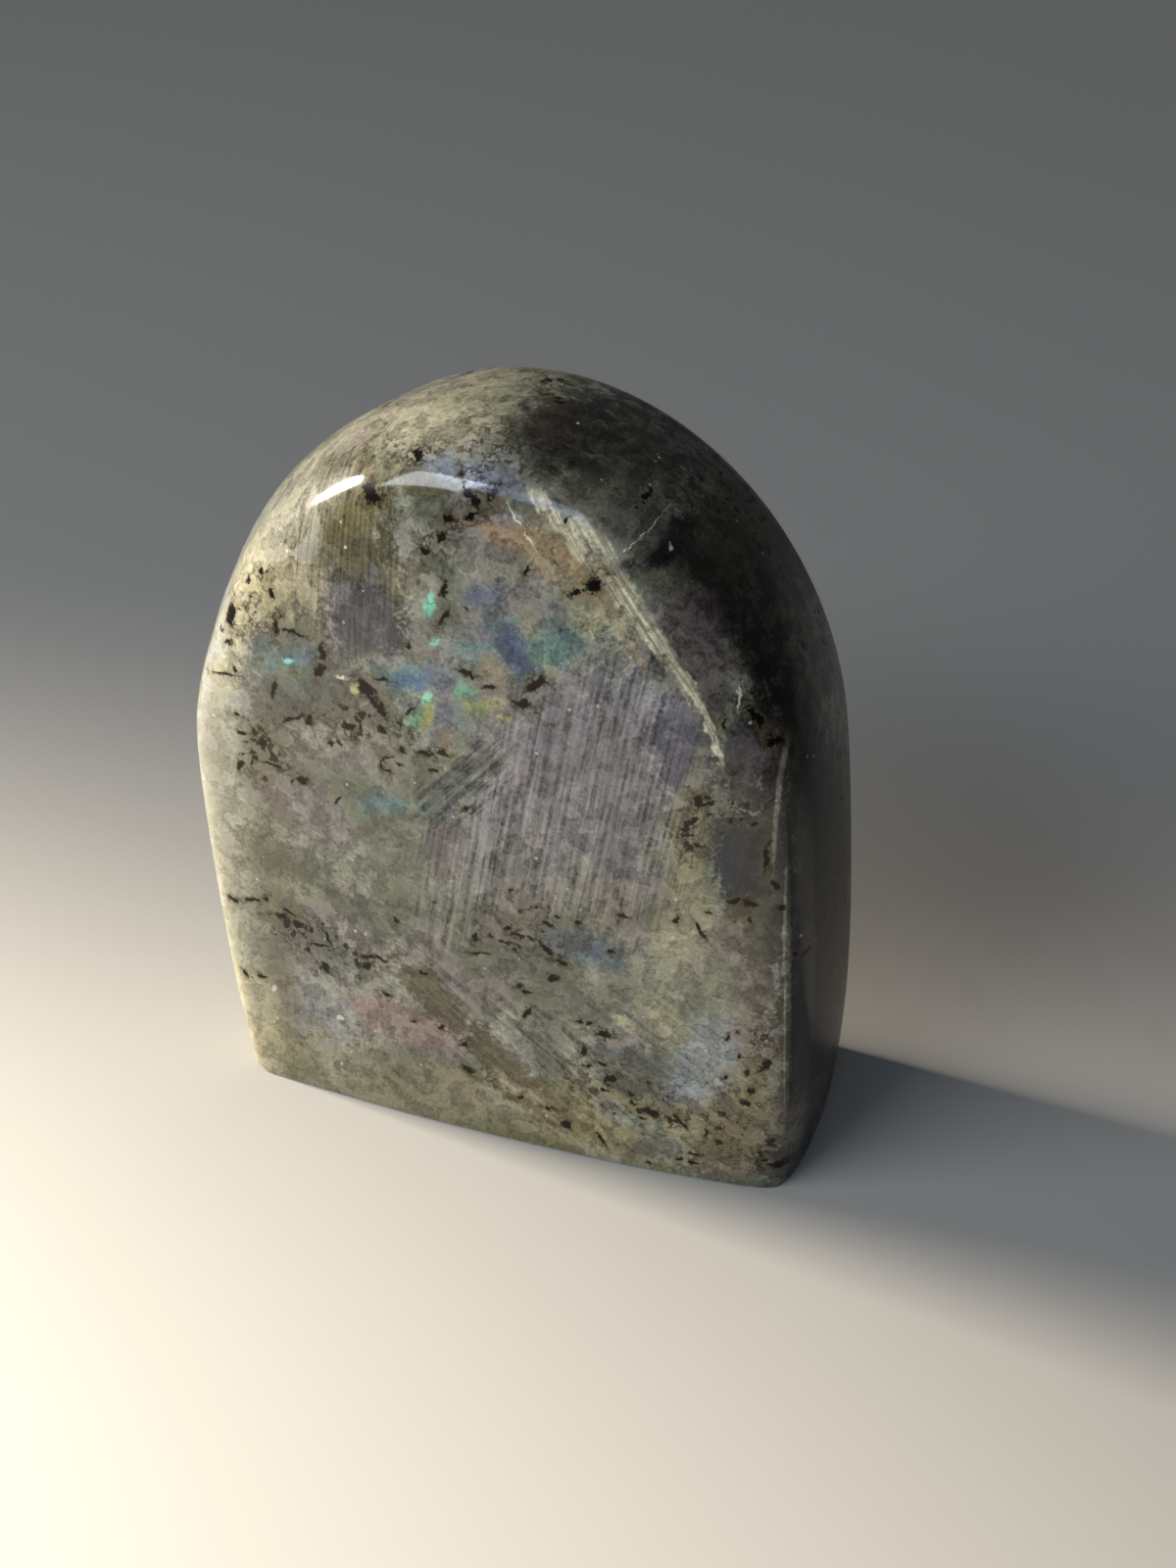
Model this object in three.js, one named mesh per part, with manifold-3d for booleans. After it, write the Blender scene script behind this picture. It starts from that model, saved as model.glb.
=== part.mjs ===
/**
 * Cut-base labradorite: a polished freeform of feldspar, arched like a small
 * headstone and sawn flat across the bottom so that it stands on its own.
 *
 * Millimetres, +Z up. The broad polished face looks along -Y, and the origin is
 * the middle of the footprint, on the sawn base.
 */
import * as THREE from 'three';
import { NURBSSurface } from 'three/addons/curves/NURBSSurface.js';
import { ParametricGeometry } from 'three/addons/geometries/ParametricGeometry.js';
import { mergeVertices, toCreasedNormals } from 'three/addons/utils/BufferGeometryUtils.js';
import Module from 'manifold-3d';

// ---------------------------------------------------------------------------
// Driving dimensions
// ---------------------------------------------------------------------------

// Girth: the widest outline of the stone, seen from the front. Its upper half is
// an ellipse, its lower half a squarer superellipse, and it leans to the left.
const CENTRE_HEIGHT = 40.1;
const GIRTH_REACH = { left: 34.3, right: 34.1, up: 40.7, down: 76 };
const UPPER_POWER = 2;
const LOWER_POWER = 2.8;
const GIRTH_LEAN = THREE.MathUtils.degToRad(4);

// Depth of the stone from its front ridge to its back ridge, and how far the
// two faces are domed beyond them. Each profile runs towards or away from the
// pole in pairs: share of the face's outline, share of its dome.
const THICKNESS = 24.6;
const FRONT_DOME = 3;
const FRONT_PROFILE = [[0, 1], [0.4, 0.86], [0.72, 0.5]];
const BACK_DOME = 1.5;
const BACK_PROFILE = [[0.6, 0.75], [0, 1]];

// The rest of the shape hangs on rings inside the girth. Each has an inset from
// the girth and a depth behind the front ridge, at five directions: right, upper
// right, up, upper left and left. The broad bevel is at the upper right, where
// the face edge lies far inside a ridge that is ground well back.
const FACE_EDGE = { inset: [4.2, 5.4, 2.2, 4.2, 7.2], depth: [-0.7, 0.7, -0.1, -0.3, -0.9] };
const RIDGE = { inset: [1.8, 1.9, 1.4, 2.6, 2.9], depth: [0.4, 5.4, -0.6, 1.6, -0.6] };
const SHOULDER = { inset: [0, 0.5, 0.9, 1.3, 1], depth: [3.8, 11.2, 6.3, 9.4, 5.3] };
const RIDGE_SOFTNESS = [0.15, 0.45, 0.4, 0.5, 0.5];

// The back is ground alike but plainer, so its rings have one depth each.
const BACK_SHOULDER = { inset: [0.6, 0.7, 0.8, 1, 1.2], depth: THICKNESS - 7 };
const BACK_RIDGE = { inset: [2, 2, 2.1, 3, 3.4], depth: THICKNESS };
const BACK_EDGE = { inset: [4, 4, 4, 5, 6], depth: THICKNESS + 0.5 };
const BACK_RIDGE_SOFTNESS = 0.45;

// Chip broken out of the front left end of the base edge.
const CHIP_LENGTH = 2.2;
const CHIP_HEIGHT = 0.5;
const CHIP_TURN = THREE.MathUtils.degToRad(36);

// Fineness of the control rings and of the facets, and the angle from which an
// edge is shaded sharp.
const RING_POINTS = 32;
const AROUND_FACETS = 104;
const DEPTH_FACETS = 50;
const SHARP_ANGLE = THREE.MathUtils.degToRad(35);

// Colour and finish of the polished stone.
const STONE_COLOUR = 0x77786a;
const STONE_ROUGHNESS = 0.22;

// ---------------------------------------------------------------------------
// Outline of the stone, seen from the front
// ---------------------------------------------------------------------------

/** Keeps the sign of a cosine or sine while raising it to a power. */
function signedPower(value, power) {
	return Math.sign(value) * Math.abs(value) ** power;
}

/** Point of the girth at an angle around its centre, in the XZ plane. */
function girthPoint(angle) {
	const power = Math.sin(angle) >= 0 ? UPPER_POWER : LOWER_POWER;
	const across = Math.cos(angle) >= 0 ? GIRTH_REACH.right : GIRTH_REACH.left;
	const upright = Math.sin(angle) >= 0 ? GIRTH_REACH.up : GIRTH_REACH.down;
	const point = new THREE.Vector2(
		across * signedPower(Math.cos(angle), 2 / power),
		upright * signedPower(Math.sin(angle), 2 / power),
	);
	return point.rotateAround(new THREE.Vector2(), GIRTH_LEAN);
}

/** Eased step from 0 to 1, level at both ends. */
function ease(t) {
	return (1 - Math.cos(Math.PI * THREE.MathUtils.clamp(t, 0, 1))) / 2;
}

/**
 * Value at an angle, eased between the five directions of a list. Below the
 * centre each side keeps its own value, and they meet under the stone.
 */
function around(values, angle) {
	const [right, , , , left] = values;
	const step = Math.PI / 4;
	if (angle > Math.PI) {
		return THREE.MathUtils.lerp(left, right, ease((angle - 5 * step) / (2 * step)));
	}
	const from = Math.min(Math.floor(angle / step), values.length - 2);
	return THREE.MathUtils.lerp(values[from], values[from + 1], ease(angle / step - from));
}

// ---------------------------------------------------------------------------
// Rings of control points, from the front pole to the back pole
// ---------------------------------------------------------------------------

const angles = Array.from({ length: RING_POINTS }, (_, i) => (i / RING_POINTS) * 2 * Math.PI);

/** A ring at each angle's inset inside the girth, depth and overall scale. */
function ring(insetAt, depthAt, scale = 1) {
	return angles.map((angle) => {
		const point = girthPoint(angle);
		point.setLength((point.length() - insetAt(angle)) * scale);
		return new THREE.Vector3(point.x, depthAt(angle), point.y + CENTRE_HEIGHT);
	});
}

/** A ring straight from one of the tables above. */
function tableRing(table) {
	const depthAt = (angle) => (Array.isArray(table.depth) ? around(table.depth, angle) : table.depth);
	return ring((angle) => around(table.inset, angle), depthAt);
}

/** A ring of the domed front face, at a share of its outline. */
function frontRing(scale, dome) {
	const outline = (angle) => (around(FACE_EDGE.inset, angle) + around(RIDGE.inset, angle)) / 2;
	return ring(outline, () => -dome * FRONT_DOME, scale);
}

/** A ring of the domed back face, at a share of its outline. */
function backRing(scale, dome) {
	return ring((angle) => around(BACK_RIDGE.inset, angle), () => THICKNESS + dome * BACK_DOME, scale);
}

/** A ring between two others, at a share of the way. */
function betweenRings(first, second, shareAt) {
	return first.map((point, i) => point.clone().lerp(second[i], shareAt(angles[i])));
}

const ridge = tableRing(RIDGE);
const shoulder = tableRing(SHOULDER);
const backShoulder = tableRing(BACK_SHOULDER);
const backRidge = tableRing(BACK_RIDGE);

const girth = ring(() => 0, () => THICKNESS / 2);

const rings = [
	...FRONT_PROFILE.map(([scale, dome]) => frontRing(scale, dome)),
	tableRing(FACE_EDGE),
	ridge,
	betweenRings(ridge, shoulder, (angle) => around(RIDGE_SOFTNESS, angle)),
	shoulder,
	girth,
	backShoulder,
	betweenRings(backRidge, backShoulder, () => BACK_RIDGE_SOFTNESS),
	backRidge,
	tableRing(BACK_EDGE),
	...BACK_PROFILE.map(([scale, dome]) => backRing(scale, dome)),
];

// ---------------------------------------------------------------------------
// Smooth skin through the rings
// ---------------------------------------------------------------------------

const DEGREE = 3;

/** Evenly spaced knots, for the direction that closes on itself. */
function closedKnots(count) {
	return Array.from({ length: count + DEGREE + 1 }, (_, i) => i);
}

/** Knots held at both ends, so that the skin reaches the two poles. */
function clampedKnots(count) {
	const last = count - DEGREE;
	return Array.from({ length: count + DEGREE + 1 }, (_, i) => THREE.MathUtils.clamp(i - DEGREE, 0, last));
}

/** The uncut pebble: a closed skin of facets on the smooth surface. */
function pebbleGeometry() {
	const wrapped = rings.map((points) => [...points, ...points.slice(0, DEGREE)]);
	const aroundCount = RING_POINTS + DEGREE;
	const surface = new NURBSSurface(
		DEGREE,
		DEGREE,
		clampedKnots(rings.length),
		closedKnots(aroundCount),
		wrapped,
	);
	const skin = (around, depth, target) => {
		const turn = (DEGREE + (1 - around) * RING_POINTS) / (aroundCount + DEGREE);
		surface.getPoint(depth, turn, target);
	};
	return new ParametricGeometry(skin, AROUND_FACETS, DEPTH_FACETS);
}

// ---------------------------------------------------------------------------
// Cutting
// ---------------------------------------------------------------------------

const wasm = await Module();
wasm.setup();

/** Closed solid from a geometry, with its shared corners joined. */
function toSolid(geometry) {
	geometry.deleteAttribute('normal');
	geometry.deleteAttribute('uv');
	const merged = mergeVertices(geometry);
	const corners = merged.index.array;
	const kept = [];
	for (let i = 0; i < corners.length; i += 3) {
		const [a, b, c] = corners.slice(i, i + 3);
		if (a !== b && b !== c && c !== a) {
			kept.push(a, b, c);
		}
	}
	const mesh = new wasm.Mesh({
		numProp: 3,
		vertProperties: new Float32Array(merged.attributes.position.array),
		triVerts: new Uint32Array(kept),
	});
	return new wasm.Manifold(mesh);
}

/** Geometry of a solid: its corners and triangles. */
function toGeometry(solid) {
	const mesh = solid.getMesh();
	const geometry = new THREE.BufferGeometry();
	geometry.setAttribute('position', new THREE.BufferAttribute(mesh.vertProperties, 3));
	geometry.setIndex(new THREE.BufferAttribute(mesh.triVerts, 1));
	return geometry;
}

/** Block that takes away all that lies below the sawn base. */
function sawBlock() {
	const size = 4 * GIRTH_REACH.down;
	return toSolid(new THREE.BoxGeometry(size, size, size).translate(0, 0, -size / 2));
}

/** Point of the base edge that lies farthest to the front left. */
function frontLeftCorner(solid) {
	const points = toGeometry(solid).attributes.position;
	const corner = new THREE.Vector3();
	const point = new THREE.Vector3();
	for (let i = 0; i < points.count; i++) {
		point.fromBufferAttribute(points, i);
		if (point.z < CHIP_HEIGHT && point.x + point.y < corner.x + corner.y) {
			corner.copy(point);
		}
	}
	return corner;
}

/** Flake of stone that broke off the base edge around a corner. */
function chip(corner) {
	const flake = new THREE.BoxGeometry(CHIP_LENGTH, CHIP_LENGTH, 2 * CHIP_HEIGHT);
	flake.rotateZ(CHIP_TURN);
	flake.translate(corner.x, corner.y, 0);
	return toSolid(flake);
}

const sawn = toSolid(pebbleGeometry()).subtract(sawBlock());
const finished = sawn.subtract(chip(frontLeftCorner(sawn)));

// ---------------------------------------------------------------------------
// The part
// ---------------------------------------------------------------------------

const geometry = toCreasedNormals(toGeometry(finished), SHARP_ANGLE);
geometry.computeBoundingBox();
const middle = geometry.boundingBox.getCenter(new THREE.Vector3());
geometry.translate(-middle.x, -middle.y, 0);

const material = new THREE.MeshStandardMaterial({
	color: STONE_COLOUR,
	roughness: STONE_ROUGHNESS,
	metalness: 0,
});
const stone = new THREE.Mesh(geometry, material);
stone.name = 'stone';

const labradorite = new THREE.Group();
labradorite.name = 'cut_base_labradorite';
labradorite.add(stone);

export default labradorite;
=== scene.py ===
# %% [markdown]
# # A cut-base labradorite
#
# This is one lump of feldspar, about as tall as a hand is wide. It was ground to the shape of a
# small headstone, polished all over and sawn flat across the bottom, so that it stands by itself.
# The lesson loads the measured solid of the stone, models the visible stone in the same place,
# and then builds up what is inside it: cloudy feldspar, fine lamellae, flashes of blue and green,
# healed cracks and black needles of ilmenite.

# %% Frame
import math

import bmesh
import bpy
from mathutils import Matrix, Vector


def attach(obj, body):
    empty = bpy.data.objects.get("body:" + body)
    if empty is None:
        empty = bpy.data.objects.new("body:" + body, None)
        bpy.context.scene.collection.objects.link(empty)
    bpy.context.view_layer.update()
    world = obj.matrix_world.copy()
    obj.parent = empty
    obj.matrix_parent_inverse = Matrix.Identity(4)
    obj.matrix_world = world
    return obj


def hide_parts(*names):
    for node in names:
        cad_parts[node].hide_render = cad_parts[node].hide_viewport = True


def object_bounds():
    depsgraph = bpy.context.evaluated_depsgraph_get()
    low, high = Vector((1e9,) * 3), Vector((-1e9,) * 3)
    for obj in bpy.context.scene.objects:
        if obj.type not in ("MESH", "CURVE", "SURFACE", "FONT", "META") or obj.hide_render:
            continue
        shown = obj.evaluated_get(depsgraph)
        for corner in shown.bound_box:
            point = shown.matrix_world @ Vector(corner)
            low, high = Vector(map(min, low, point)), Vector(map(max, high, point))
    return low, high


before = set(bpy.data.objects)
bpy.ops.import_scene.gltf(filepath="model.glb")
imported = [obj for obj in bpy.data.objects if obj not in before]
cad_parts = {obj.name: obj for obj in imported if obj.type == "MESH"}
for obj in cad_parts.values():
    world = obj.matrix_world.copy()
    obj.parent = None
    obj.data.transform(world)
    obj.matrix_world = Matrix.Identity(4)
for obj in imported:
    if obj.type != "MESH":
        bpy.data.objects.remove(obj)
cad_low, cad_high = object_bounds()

MM = 0.001
print("measured solid, mm:", [round(side / MM, 2) for side in cad_high - cad_low])

# %% [markdown]
# ## The view
# The stone is looked down on from its right, so that the polished face, the sharp right ridge and
# the round left edge all show. The aim point lies on the face, and the camera sits straight back
# from it. A longish lens from close by gives the gentle perspective of something in the hand.

# %% Camera
AIM = Vector((11.1, -11.4, 46.5)) * MM
VIEW_AZIMUTH = math.radians(19.75)
VIEW_ELEVATION = math.radians(34)
VIEW_DISTANCE = 270.3 * MM
VIEW_LENS = 63.4
NEAREST_SEEN = 10 * MM


def direction(azimuth, elevation):
    """Unit vector from the stone, at an angle from its front and above the horizon."""
    level = math.cos(elevation)
    return Vector((math.sin(azimuth) * level, -math.cos(azimuth) * level, math.sin(elevation)))


bpy.ops.object.camera_add(
    location=AIM + direction(VIEW_AZIMUTH, VIEW_ELEVATION) * VIEW_DISTANCE,
    rotation=(math.pi / 2 - VIEW_ELEVATION, 0, VIEW_AZIMUTH),
)
camera = bpy.context.object
camera.data.lens = VIEW_LENS
camera.data.clip_start = NEAREST_SEEN
bpy.context.scene.camera = camera
print("camera, mm:", [round(place / MM, 1) for place in camera.location])

# %% [markdown]
# ## The room
# A polished stone shows its room as much as its own colour. The floor is one wide sheet of pale
# paper. It is light grey rather than white, because the lamp shines full on it, and what lies in
# front of the stone is mirrored in the lower half of the face.

# %% Floor
FLOOR_SIZE = 12.0
FLOOR_COLOUR = (0.33, 0.315, 0.285, 1)
PAPER_ROUGHNESS = 0.85


def deselect():
    """Nothing selected, so that the next operator acts only on what it is meant for."""
    bpy.ops.object.select_all(action="DESELECT")


deselect()
bpy.ops.mesh.primitive_plane_add(size=FLOOR_SIZE)
floor = bpy.context.object
floor.name = "studio_floor"

floor_finish = bpy.data.materials.new("pale_paper")
floor_finish.use_nodes = True
paper = floor_finish.node_tree.nodes["Principled BSDF"]
paper.inputs["Base Color"].default_value = FLOOR_COLOUR
paper.inputs["Roughness"].default_value = PAPER_ROUGHNESS
floor.data.materials.append(floor_finish)
print("floor is", FLOOR_SIZE, "m across")

# %% [markdown]
# ## The light
# A warm lamp stands low on the left, level with the face, so that it grazes the polish and the
# round left edge is the brightest part. It has a honeycomb grid and is aimed at the floor in
# front, which leaves the floor behind the stone dim: that dimness is what the dark right side
# mirrors. A large cool lamp on the left of the viewer lights the face. With a blue one above them
# it also draws the pale band along the top ridge. A weak lamp behind keeps the back from going
# black. The Standard view shows each colour as it is mixed.

# %% Lamps
ROOM_COLOUR = (0.80, 0.88, 1.0, 1)
ROOM_STRENGTH = 0.05
STONE_MIDDLE = (cad_low + cad_high) / 2
OPEN_LAMP = 180


def lamp(name, azimuth, elevation, distance, size, power, colour, aim=STONE_MIDDLE,
         spread=OPEN_LAMP):
    """Soft lamp seen from the stone at two angles; the aim is a place, the spread in degrees."""
    towards = direction(math.radians(azimuth), math.radians(elevation))
    bpy.ops.object.light_add(type="AREA", location=STONE_MIDDLE + towards * distance)
    made = bpy.context.object
    made.name = name
    made.rotation_euler = (made.location - aim).to_track_quat("Z", "Y").to_euler()
    made.data.shape = "RECTANGLE"
    made.data.size, made.data.size_y = size
    made.data.energy = power
    made.data.color = colour
    made.data.spread = math.radians(spread)
    print(name, "stands at", [round(place, 2) for place in made.location], "m")
    return made


SKY_BLUE = (0.5, 0.66, 1.0)
WARM, COOL, WHITE = (1.0, 0.91, 0.79), (0.88, 0.93, 1.0), (0.95, 0.97, 1.0)
IN_FRONT = Vector((-20, -110, 0)) * MM
lamp("warm_key", -90, 20.5, 0.45, (0.10, 0.11), 0.73, WARM, IN_FRONT, 40)
lamp("cool_window", -40, 41, 0.8, (0.6, 0.36), 4.8, COOL)
lamp("blue_sky", 4, 44, 1.0, (0.6, 0.3), 1.5, SKY_BLUE)
back_fill = lamp("soft_back", 170, 16, 1.0, (0.7, 0.5), 1.2, WHITE)
back_fill.visible_glossy = False

room = bpy.data.worlds.new("grey_room")
room.use_nodes = True
room.node_tree.nodes["Background"].inputs["Color"].default_value = ROOM_COLOUR
room.node_tree.nodes["Background"].inputs["Strength"].default_value = ROOM_STRENGTH
bpy.context.scene.world = room
bpy.context.scene.view_settings.view_transform = "Standard"

# %% [markdown]
# ## The outline
# From the front the stone is an arch that leans a little to the left. Its upper half is an
# ellipse, and its lower half a squarer superellipse, most of which the saw later takes away.
# Every ring of the model is this outline with a little taken off, so one function gives it.

# %% Outline
CENTRE_HEIGHT = 40.1
REACH = {"left": 34.3, "right": 34.1, "up": 40.7, "down": 76}
UPPER_POWER = 2
LOWER_POWER = 2.8
LEAN = math.radians(4)
RING_POINTS = 32
ANGLES = [turn * 2 * math.pi / RING_POINTS for turn in range(RING_POINTS)]


def signed_power(value, power):
    """Power of a sine or cosine that keeps its sign."""
    return math.copysign(abs(value) ** power, value)


def outline_point(angle):
    """Point of the widest outline, in millimetres from its centre."""
    power = UPPER_POWER if math.sin(angle) >= 0 else LOWER_POWER
    across = REACH["right"] if math.cos(angle) >= 0 else REACH["left"]
    upright = REACH["up"] if math.sin(angle) >= 0 else REACH["down"]
    x = across * signed_power(math.cos(angle), 2 / power)
    z = upright * signed_power(math.sin(angle), 2 / power)
    lean_cos, lean_sin = math.cos(LEAN), math.sin(LEAN)
    return Vector((x * lean_cos - z * lean_sin, x * lean_sin + z * lean_cos))


print("outline top, mm:", [round(place, 1) for place in outline_point(math.pi / 2)])

# %% [markdown]
# ## How the edge is ground
# The maker's wheel cut the edge differently in each direction: a crisp ridge on the right, a broad
# bevel at the upper right, and a soft round on the left. Each ring therefore has an inset from the
# outline and a depth behind the front ridge at five directions, and eases between them.

# %% Insets and depths
THICKNESS = 24.6
FRONT_DOME = 3
BACK_DOME = 1.5
FRONT_PROFILE = [(0.08, 0.995), (0.4, 0.86), (0.72, 0.5)]
BACK_PROFILE = [(0.6, 0.75), (0.08, 0.995)]

# Insets and depths at the right, upper right, top, upper left and left.
FACE_EDGE = ([4.2, 5.4, 2.2, 4.2, 7.2], [-0.7, 0.7, -0.1, -0.3, -0.9])
RIDGE = ([1.8, 1.9, 1.4, 2.6, 2.9], [0.4, 5.4, -0.6, 1.6, -0.6])
SHOULDER = ([0, 0.5, 0.9, 1.3, 1], [3.8, 11.2, 6.3, 9.4, 5.3])
RIDGE_SOFTNESS = [0.15, 0.45, 0.4, 0.5, 0.5]
BACK_SHOULDER = ([0.6, 0.7, 0.8, 1, 1.2], [THICKNESS - 7] * 5)
BACK_RIDGE = ([2, 2, 2.1, 3, 3.4], [THICKNESS] * 5)
BACK_EDGE = ([4, 4, 4, 5, 6], [THICKNESS + 0.5] * 5)
BACK_SOFTNESS = [0.45] * 5
print("stone is", THICKNESS, "mm from ridge to ridge")

# %% [markdown]
# ## The rings
# One ring is the outline with its inset taken off, set back by its depth. The rings run from the
# middle of the face over the ridge and the shoulder to the middle of the back. The domes of the
# two faces are rings at a share of the face's own size.

# %% Rings


def ease(share):
    """Smooth step from 0 to 1."""
    return (1 - math.cos(math.pi * min(max(share, 0), 1))) / 2


def around(values, angle):
    """Value at an angle, eased between five directions; below, right and left meet."""
    step = math.pi / 4
    if angle > math.pi:
        return values[-1] + (values[0] - values[-1]) * ease((angle - 5 * step) / (2 * step))
    first = min(int(angle / step), len(values) - 2)
    return values[first] + (values[first + 1] - values[first]) * ease(angle / step - first)


def ring(inset_at, depth_at, share=1):
    """Places of one ring, in metres."""
    places = []
    for angle in ANGLES:
        point = outline_point(angle)
        point *= (point.length - inset_at(angle)) * share / point.length
        places.append(Vector((point.x, depth_at(angle), point.y + CENTRE_HEIGHT)) * MM)
    return places


def table_ring(table):
    """A ring straight from one of the tables."""
    insets, depths = table
    return ring(lambda angle: around(insets, angle), lambda angle: around(depths, angle))


def front_ring(share, dome):
    """A ring of the domed front, at a share of its outline."""
    def inset_at(angle):
        return (around(FACE_EDGE[0], angle) + around(RIDGE[0], angle)) / 2
    return ring(inset_at, lambda angle: -dome * FRONT_DOME, share)


def back_ring(share, dome):
    """A ring of the domed back, at a share of its outline."""
    def inset_at(angle):
        return around(BACK_RIDGE[0], angle)
    return ring(inset_at, lambda angle: THICKNESS + dome * BACK_DOME, share)


def between(first, second, softness):
    """A ring that lies a share of the way between two others."""
    shares = [around(softness, angle) for angle in ANGLES]
    return [one.lerp(other, share) for one, other, share in zip(first, second, shares)]


ridge, shoulder = table_ring(RIDGE), table_ring(SHOULDER)
back_shoulder, back_ridge = table_ring(BACK_SHOULDER), table_ring(BACK_RIDGE)
rings = [front_ring(*step) for step in FRONT_PROFILE]
rings += [table_ring(FACE_EDGE), ridge, between(ridge, shoulder, RIDGE_SOFTNESS), shoulder]
rings += [ring(lambda angle: 0, lambda angle: THICKNESS / 2), back_shoulder]
rings += [between(back_ridge, back_shoulder, BACK_SOFTNESS), back_ridge, table_ring(BACK_EDGE)]
rings += [back_ring(*step) for step in BACK_PROFILE]
print(len(rings), "rings of", RING_POINTS, "points")

# %% [markdown]
# ## The rough pebble
# A filled circle starts at the middle of the face. Its cap is extruded once for every ring, and
# each new point is moved to its place, as one would pull a lump out ring by ring by hand. A NURBS
# surface would do as well, but this cage stays editable.

# %% Cage
deselect()
bpy.ops.mesh.primitive_circle_add(
    vertices=RING_POINTS, radius=rings[0][0].x, fill_type="NGON",
    location=(0, 0, CENTRE_HEIGHT * MM), rotation=(math.pi / 2, 0, 0),
)
stone = bpy.context.object
stone.name = "polished_stone"
bpy.ops.object.transform_apply(location=True, rotation=True, scale=True)


def move_points(old_places, new_places):
    """Moves each selected point from its old place to the new one."""
    body = bmesh.from_edit_mesh(stone.data)
    chosen = [point.index for point in body.verts if point.select]
    for index in chosen:
        bpy.ops.mesh.select_all(action="DESELECT")
        body = bmesh.from_edit_mesh(stone.data)
        body.verts.ensure_lookup_table()
        point = body.verts[index]
        nearest = min(range(RING_POINTS), key=lambda i: (old_places[i] - point.co).length)
        point.select_set(True)
        bpy.ops.transform.translate(value=new_places[nearest] - point.co)


def select_cap():
    """Selects the many-sided face that lies farthest back."""
    bpy.ops.mesh.select_all(action="DESELECT")
    body = bmesh.from_edit_mesh(stone.data)
    caps = [face for face in body.faces if len(face.verts) == RING_POINTS]
    max(caps, key=lambda face: face.calc_center_median().y).select_set(True)


bpy.ops.object.mode_set(mode="EDIT")
bpy.ops.mesh.select_mode(type="VERT")
centre = Vector((0, 0, CENTRE_HEIGHT * MM))
circle = [centre + Vector((math.cos(a), 0, math.sin(a))) * rings[0][0].x for a in ANGLES]
bpy.ops.mesh.select_all(action="SELECT")
move_points(circle, rings[0])
for before, after in zip(rings, rings[1:]):
    select_cap()
    bpy.ops.mesh.extrude_region_move(TRANSFORM_OT_translate={"value": (0, 0, 0)})
    move_points(before, after)
bpy.ops.mesh.select_all(action="SELECT")
bpy.ops.mesh.normals_make_consistent(inside=False)
bpy.ops.object.mode_set(mode="OBJECT")
print("cage has", len(stone.data.polygons), "faces")

# %% [markdown]
# ## Smooth, then saw
# Subdivision rounds the cage like the last polish. The ridge above the face is worn rounder than
# the rest, so its points are smoothed on, in steps that each take in a smaller part of it, which
# lets the roundness fade out at the ends. The saw comes last, because the real cut was made
# through a finished shape and its edge is sharp all round. Bisect cuts the mesh at the level of
# the table and fills the cut.

# %% Skin and saw cut
SMOOTH_LEVELS = 3
POLISH_STEPS = 12
POLISH_TURNS = 22
POLISH_FORCE = 0.5
# Lowest, rightmost and hindmost place of the soft ridge, and what each step adds to them.
RIDGE_LIMITS = (46, 12, -5.5)
LIMIT_STEPS = (2, -0.5, -0.25)


def finish_with(kind, **settings):
    """Adds a modifier to the stone and applies it."""
    modifier = stone.modifiers.new(kind.title(), kind)
    for name, value in settings.items():
        setattr(modifier, name, value)
    bpy.ops.object.modifier_apply(modifier=modifier.name)


def is_soft_ridge(place, step):
    """True on the ridge above the face; each step leaves out more of its ends and its sides."""
    lowest, rightmost, hindmost = [
        limit + more * step for limit, more in zip(RIDGE_LIMITS, LIMIT_STEPS)]
    return place.z > lowest * MM and place.x < rightmost * MM and place.y < hindmost * MM


finish_with("SUBSURF", levels=SMOOTH_LEVELS, render_levels=SMOOTH_LEVELS)
bpy.ops.object.mode_set(mode="EDIT")
for step in range(POLISH_STEPS):
    bpy.ops.mesh.select_all(action="DESELECT")
    for point in bmesh.from_edit_mesh(stone.data).verts:
        point.select_set(is_soft_ridge(point.co - Vector((0, THICKNESS / 2 * MM, 0)), step))
    bpy.ops.mesh.vertices_smooth(factor=POLISH_FORCE, repeat=POLISH_TURNS)
bpy.ops.mesh.select_all(action="SELECT")
bpy.ops.mesh.bisect(plane_co=(0, 0, 0), plane_no=(0, 0, 1), use_fill=True, clear_inner=True)
bpy.ops.object.mode_set(mode="OBJECT")
print("sawn stone has", len(stone.data.polygons), "faces")

# %% [markdown]
# ## The chip
# A small flake is missing from the front left end of the base edge. A squashed, slightly
# roughened ball is subtracted there, because broken stone leaves a shallow shell shape.

# %% Chip
CHIP_REACH = Vector((2.4, 1.5, 0.8))
CHIP_TURN = math.radians(36)
CHIP_ZONE = 0.5
FLAKE_ROUGHNESS = 0.06
FLAKE_SEED = 3

corner = min((point.co for point in stone.data.vertices if point.co.z < CHIP_ZONE * MM),
             key=lambda place: place.x + place.y).copy()
deselect()
bpy.ops.mesh.primitive_ico_sphere_add(
    subdivisions=3, radius=MM, location=(corner.x, corner.y, 0), rotation=(0, 0, CHIP_TURN),
    scale=CHIP_REACH / 2,
)
flake = bpy.context.object
bpy.ops.object.mode_set(mode="EDIT")
bpy.ops.transform.vertex_random(offset=FLAKE_ROUGHNESS * MM, seed=FLAKE_SEED)
bpy.ops.object.mode_set(mode="OBJECT")
deselect()
bpy.context.view_layer.objects.active = stone
stone.select_set(True)
finish_with("BOOLEAN", object=flake, operation="DIFFERENCE", solver="EXACT")
bpy.data.objects.remove(flake)
print("chip at, mm:", [round(place / MM, 1) for place in corner])

# %% [markdown]
# ## Clean up and fit
# The subtraction leaves points almost on top of each other, so the closest are merged. The edge of
# the saw cut stays crisp. The stone is then laid in the box of the measured solid, a hair smaller,
# with its base on the floor, and shaded smooth up to the angle of the saw cut.

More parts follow.
